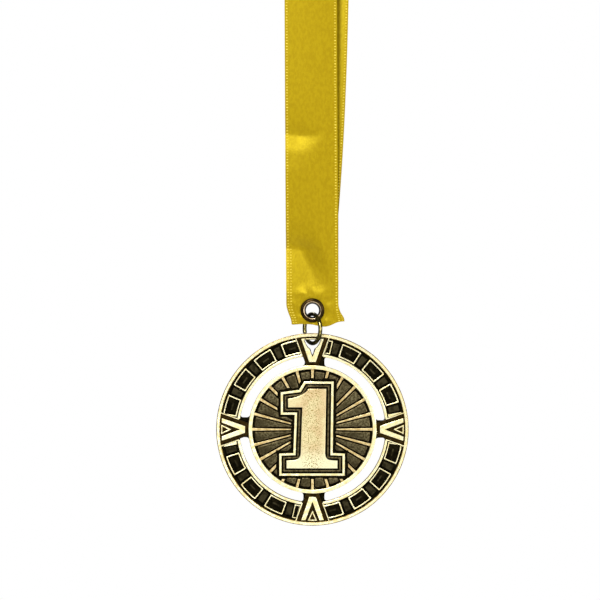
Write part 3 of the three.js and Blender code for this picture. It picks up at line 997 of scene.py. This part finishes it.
def folds(height, across, rear):
    """How far a ply stands out from its straight line, at a height above the eyelet and a place
    across from -1, left, to 1, right."""
    wider = 0.2 * smoothstep(height, 40, 25) + 0.2 * np.sin(height / 4.5 - 1.1)
    left = smoothstep(across, 0.5 + wider, -0.6 + wider)
    from_eyelet = np.hypot(height, across * RIBBON_WIDTH / 2)
    clear_of_flange = smoothstep(from_eyelet, 4.6, 8.5)
    bearing = np.arctan2(height, across * RIBBON_WIDTH / 2)
    pucker = PUCKER_HEIGHT * (1 + np.sin(PUCKERS * bearing + 0.6)) * smoothstep(from_eyelet, 4.5, 5.5)
    pucker *= smoothstep(from_eyelet, 11, 6)
    bent = height + 1.2 * across
    heights, stands = np.array(CREASES).T
    crease = np.mean([np.interp(bent + d, heights, stands) for d in (-0.8, -0.4, 0, 0.4, 0.8)], 0)
    slack = 0.5 * np.sin(height / 23.0) * np.sin(height / 61.0 + 1.0)
    cup = -0.35 * across**2 * smoothstep(height, 8, 40)
    top = smoothstep(height, 340, 250)
    # The rear ply gives way where the front one is pressed back.
    behind = -np.minimum(crease, 0) * left
    bend = np.where(rear, behind + 0.4 * slack, crease * left + slack) + cup
    return clear_of_flange * top * bend + np.where(rear, 0, pucker)


def ribbon_points(along, across, lift):
    """Points of the ribbon. along is the distance from the front cut end, across runs from -1 to 1
    and lift is the distance out from its middle surface, away from the inside of the loop."""
    y = np.interp(along, ROUTE_AT, ROUTE[:, 0])
    z = np.interp(along, ROUTE_AT, ROUTE[:, 1])
    dy = np.interp(along, ROUTE_AT, np.gradient(ROUTE[:, 0], ROUTE_AT))
    dz = np.interp(along, ROUTE_AT, np.gradient(ROUTE[:, 1], ROUTE_AT))
    length = np.hypot(dy, dz)
    height = z - EYELET_Z
    rear = along > RIBBON_LENGTH / 2
    out = lift + folds(height, across, rear)
    side = np.where(y < 0, 0.0, 1.0)
    turn = smoothstep(y, -LOOP_RADIUS, LOOP_RADIUS)
    over = smoothstep(z, -2.5 * LOOP_RADIUS, -LOOP_RADIUS / 2)
    share = side + (turn - side) * over
    shift = lean(height, **FRONT_LEAN) * (1 - share) + lean(height, **REAR_LEAN) * share
    # Towards the cut ends the plies pull sideways, the rear one further than the front one.
    loose = smoothstep(height, 2.5, -TAIL)
    front_pull, rear_pull = [pull + more * across for pull, more in (FRONT_PULL, REAR_PULL)]
    x = across * RIBBON_WIDTH / 2 + shift + np.where(rear, rear_pull, front_pull) * loose
    # How far each cut end reaches below a straight cut. The front one is uneven, the rear one slants.
    ends = -0.6 + 0.95 * bell(across, 0.3, 0.35) - 0.9 * smoothstep(across, 0.5, 1.0)
    ends = np.where(rear, -1.0 - 0.6 * across, ends)
    z = z - ends * smoothstep(height, 0, -TAIL)
    return np.stack([x, y - out * dz / length, z + out * dy / length], -1)


# Beyond this the cloth carries a little painted shade under the stitches, as a dimmer sheen.
SELVEDGE_FROM = 0.86  # of the way from the middle to the edge


def grid_solid(name, along, across, half):
    """A closed sheet with its two faces half a thickness either side of the middle surface."""
    rows, columns = len(along), len(across)
    all_along, all_across = [grid.ravel() for grid in np.meshgrid(along, across, indexing="ij")]
    # It thins towards both edges.
    lift = half * (1 - 0.55 * smoothstep(np.abs(all_across), 0.93, 1.0))
    points = np.concatenate([
        ribbon_points(all_along, all_across, lift),
        ribbon_points(all_along, all_across, -lift),
    ])
    def at(i, j, face):
        return face * rows * columns + i * columns + j
    # Faces along the edges are marked for the second material, which carries painted shade.
    faces, shaded_edge = [], []
    for i in range(rows - 1):
        for j in range(columns - 1):
            shaded_edge += [abs(across[j] + across[j + 1]) / 2 > SELVEDGE_FROM] * 2
            faces.append((at(i, j, 0), at(i, j + 1, 0), at(i + 1, j + 1, 0), at(i + 1, j, 0)))
            faces.append((at(i + 1, j, 1), at(i + 1, j + 1, 1), at(i, j + 1, 1), at(i, j, 1)))
        for j, flip in ((0, False), (columns - 1, True)):
            side = (at(i, j, 0), at(i + 1, j, 0), at(i + 1, j, 1), at(i, j, 1))
            faces.append(side[::-1] if flip else side)
            shaded_edge.append(True)
    for i, flip in ((0, True), (rows - 1, False)):
        for j in range(columns - 1):
            end = (at(i, j, 0), at(i, j + 1, 0), at(i, j + 1, 1), at(i, j, 1))
            faces.append(end if not flip else end[::-1])
            shaded_edge.append(False)
    mesh = bpy.data.meshes.new(name)
    mesh.from_pydata((points * MM).tolist(), [], faces)
    bm = bmesh.new()
    bm.from_mesh(mesh)
    bmesh.ops.recalc_face_normals(bm, faces=bm.faces)
    bm.faces.ensure_lookup_table()
    for face, edge in zip(bm.faces, shaded_edge):
        face.material_index = int(edge)
    return as_object(name, bm, [])


PUNCH_RADIUS, PUNCH_DEPTH = 3.3, 8


def punched(ribbon):
    """The ribbon with the eyelet's hole through both plies."""
    bm = bmesh.new()
    place = Matrix.Translation(Vector((0, 0, EYELET_Z)) * MM) @ Matrix.Rotation(math.pi / 2, 4, "X")
    radius = PUNCH_RADIUS * MM
    bmesh.ops.create_cone(
        bm, cap_ends=True, segments=48, radius1=radius, radius2=radius,
        depth=PUNCH_DEPTH * MM, matrix=place,
    )
    return combine(ribbon, as_object("punch", bm, []), "DIFFERENCE")


STITCH_PITCH = 1.05
STITCH_AT = 0.75  # in from the edge, to the middle of a stitch
SECOND_ROW_AT, SECOND_ROW_TOP = 1.75, 23.0  # beside the cut end only, on the left edge
STITCH_HALF_LENGTH, STITCH_HALF_HEIGHT = 0.26, 0.235
# Across a stitch: the distance from its middle, and its thickness there as a share.
STITCH_RINGS = ((-0.4, 0.25), (-0.29, 0.85), (0, 1.0), (0.29, 0.85), (0.4, 0.25))


def selvedge_stitches(material):
    """One raised stitch after another along both edges, standing proud of both faces."""
    count = int(RIBBON_LENGTH / STITCH_PITCH)
    middle = (np.arange(count) + 0.5) * RIBBON_LENGTH / count
    second = middle[middle < SECOND_ROW_TOP + TAIL]
    rows = ((-1, STITCH_AT, middle), (1, STITCH_AT, middle), (-1, SECOND_ROW_AT, second))
    sides = 6
    angles = [2 * math.pi * k / sides for k in range(sides)]
    stitch = [
        (
            offset * 2 / RIBBON_WIDTH,
            scale * STITCH_HALF_LENGTH * math.cos(a),
            scale * STITCH_HALF_HEIGHT * math.sin(a),
        )
        for offset, scale in STITCH_RINGS
        for a in angles
    ]
    points, faces = [], []
    for side, inset, places in rows:
        row_across = side * (1 - 2 * inset / RIBBON_WIDTH)
        for place in places:
            first = len(points)
            points += [(place + t, row_across + across, lift) for across, t, lift in stitch]
            last = first + (len(STITCH_RINGS) - 1) * sides
            for ring in range(first, last, sides):
                for k in range(sides):
                    a, b = ring + k, ring + (k + 1) % sides
                    faces.append((a, b, b + sides, a + sides))
            faces.append(tuple(range(first, first + sides)))
            faces.append(tuple(range(last, last + sides)))
    along, across, lift = np.array(points).T
    at = ribbon_points(np.clip(along, 0, RIBBON_LENGTH), across, lift)
    mesh = bpy.data.meshes.new("selvedge")
    mesh.from_pydata((at * MM).tolist(), [], faces)
    bm = bmesh.new()
    bm.from_mesh(mesh)
    bmesh.ops.recalc_face_normals(bm, faces=bm.faces)
    return smooth(as_object("ribbon_selvedge", bm, [material]), 80)


def make_ribbon():
    cloth = satin(
        "yellow_satin", linear(155, 130, 13), shade=linear(145, 119, 9), glint=linear(250, 225, 60),
    )
    thread = satin(
        "selvedge_thread", linear(236, 212, 84),
        shade=linear(206, 178, 44), glint=linear(255, 240, 140),
    )
    # Painted shade along the selvedge: the same yellow with a dimmer sheen.
    selvedge_shade_cloth = satin(
        "selvedge_cloth_shaded", linear(158, 130, 10), shade=linear(146, 120, 8), glint=linear(230, 205, 50),
    )
    # Fine steps from either cut end to above the creases, and longer ones round the loop.
    fine_length = TAIL + STACK + 60
    fine = np.arange(0, fine_length, 0.5)
    coarse = np.arange(fine_length, RIBBON_LENGTH - fine_length, 1.5)
    along = np.concatenate([fine, coarse, (RIBBON_LENGTH - fine)[::-1]])
    middle = np.linspace(-SELVEDGE_FROM, SELVEDGE_FROM, 25)
    across = np.concatenate([[-1, -0.985, -0.95, -0.9], middle, [0.9, 0.95, 0.985, 1]])
    ribbon = grid_solid("ribbon_satin", along, across, RIBBON_THICKNESS / 2)
    punched(ribbon)
    ribbon.data.materials.clear()
    for material in (cloth, selvedge_shade_cloth):
        ribbon.data.materials.append(material)
    smooth(ribbon, 50)
    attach(ribbon, "ribbon")
    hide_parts("neck_ribbon")
    stitches = selvedge_stitches(thread)
    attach(stitches, "ribbon")


make_camera()
make_studio()
make_floor()
make_medal()
make_eyelet()
make_jump_ring()
make_ribbon()
